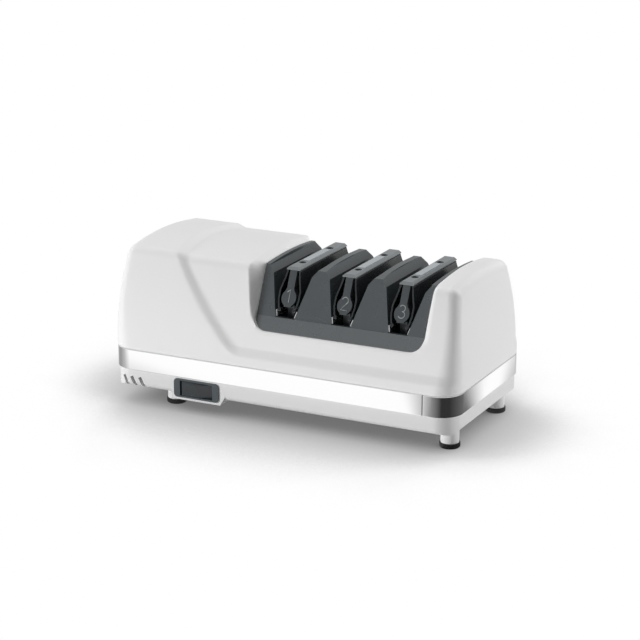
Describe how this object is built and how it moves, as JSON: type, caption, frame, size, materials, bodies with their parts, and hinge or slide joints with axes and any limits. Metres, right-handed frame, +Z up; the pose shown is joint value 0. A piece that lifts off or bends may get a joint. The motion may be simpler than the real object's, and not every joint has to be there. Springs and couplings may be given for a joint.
{
  "type": "three-stage knife sharpener",
  "caption": "Worktop knife sharpener with a white crowned hood, bright trim band, dark insert of sprung blade guides, rocker switch and a motor-driven spindle of paired abrasive discs.",
  "frame": {"origin": "bottom centre of the bounding box, on the worktop under the rubber feet", "axes": "+X along the body from the motor end to the guide end, -Y is the switch side, +Z up"},
  "size_m": [0.25, 0.118, 0.1095],
  "materials": {
    "housing_white": "satin moulded white plastic",
    "band_bright": "bright polished strip",
    "base_grey": "pale grey moulded plastic",
    "foot_rubber": "black rubber",
    "dark_rubber": "black rubber",
    "screw_steel": "zinc-plated steel",
    "insert_slate": "dark slate plastic, fine grain",
    "strip_steel": "bright steel strip",
    "post_slate": "slate plastic",
    "cap_grey": "grey plastic, satin",
    "black_screw": "blackened steel",
    "spring_grey": "grey coated spring arm",
    "switch_frame": "dark grey plastic",
    "switch_key": "dark grey rocker",
    "lamination_steel": "stacked steel laminations",
    "coil_copper": "enamelled copper winding",
    "commutator_brass": "copper segments",
    "carbon": "carbon block",
    "frame_aluminium": "die-cast plate",
    "shaft_steel": "ground steel",
    "fan_plastic": "dark plastic",
    "abrasive_coarse": "coarse diamond-coated face",
    "abrasive_fine": "fine diamond-coated face",
    "abrasive_polish": "flexible polishing disc"
  },
  "bodies": {
    "machine": {"upper_housing": "housing_white", "trim_band": "band_bright", "base_tray": "base_grey", "clean_out_cover": "base_grey", "rubber_feet": "foot_rubber", "housing_screws": "screw_steel", "insert_screws": "screw_steel", "cord_bushing": "dark_rubber", "guide_insert": "insert_slate", "slot_strips": "strip_steel", "guide_post_1": "post_slate", "guide_post_2": "post_slate", "guide_post_3": "post_slate", "guide_cap_1": "cap_grey", "guide_cap_2": "cap_grey", "guide_cap_3": "cap_grey", "guide_screws": "black_screw", "switch_bezel": "switch_frame", "switch_body": "switch_frame", "motor_stator": "lamination_steel", "field_coils": "coil_copper", "brush_holders": "switch_frame", "carbon_brushes": "carbon", "rear_motor_frame": "frame_aluminium", "front_motor_frame": "frame_aluminium", "motor_bolts": "screw_steel", "end_bearing_block": "frame_aluminium", "ball_bearings": "shaft_steel"},
    "spindle": {"drive_shaft": "shaft_steel", "shaft_spacers": "shaft_steel", "cooling_fan": "fan_plastic", "motor_rotor": "lamination_steel", "commutator": "commutator_brass", "coarse_discs": "abrasive_coarse", "fine_discs": "abrasive_fine", "polishing_discs": "abrasive_polish"},
    "rocker": {"switch_rocker": "switch_key"},
    "guide_arm_1_left": {"spring_arm_1_left": "spring_grey"},
    "guide_arm_1_right": {"spring_arm_1_right": "spring_grey"},
    "guide_arm_2_left": {"spring_arm_2_left": "spring_grey"},
    "guide_arm_2_right": {"spring_arm_2_right": "spring_grey"},
    "guide_arm_3_left": {"spring_arm_3_left": "spring_grey"},
    "guide_arm_3_right": {"spring_arm_3_right": "spring_grey"}
  },
  "joints": [
    {"name": "spindle_spin", "type": "hinge", "parent": "machine", "child": "spindle", "pos_m": [0, 0, 0.047], "axis": [1, 0, 0], "continuous": true},
    {"name": "switch_tip", "type": "hinge", "parent": "machine", "child": "rocker", "pos_m": [-0.0593, -0.0544, 0.0176], "axis": [0, 0, -1], "range_deg": [0, 16]},
    {"name": "flex_1_left", "type": "hinge", "parent": "machine", "child": "guide_arm_1_left", "pos_m": [-0.004, 0, 0.1], "axis": [0, -1, 0], "range_deg": [0, 3], "stiffness_Nm_per_rad": 1.2},
    {"name": "flex_1_right", "type": "hinge", "parent": "machine", "child": "guide_arm_1_right", "pos_m": [0.0046, 0, 0.1], "axis": [0, 1, 0], "range_deg": [0, 3], "stiffness_Nm_per_rad": 1.2},
    {"name": "flex_2_left", "type": "hinge", "parent": "machine", "child": "guide_arm_2_left", "pos_m": [0.036, 0, 0.1], "axis": [0, -1, 0], "range_deg": [0, 3], "stiffness_Nm_per_rad": 1.2},
    {"name": "flex_2_right", "type": "hinge", "parent": "machine", "child": "guide_arm_2_right", "pos_m": [0.0446, 0, 0.1], "axis": [0, 1, 0], "range_deg": [0, 3], "stiffness_Nm_per_rad": 1.2},
    {"name": "flex_3_left", "type": "hinge", "parent": "machine", "child": "guide_arm_3_left", "pos_m": [0.076, 0, 0.1], "axis": [0, -1, 0], "range_deg": [0, 3], "stiffness_Nm_per_rad": 1.2},
    {"name": "flex_3_right", "type": "hinge", "parent": "machine", "child": "guide_arm_3_right", "pos_m": [0.0846, 0, 0.1], "axis": [0, 1, 0], "range_deg": [0, 3], "stiffness_Nm_per_rad": 1.2}
  ]
}
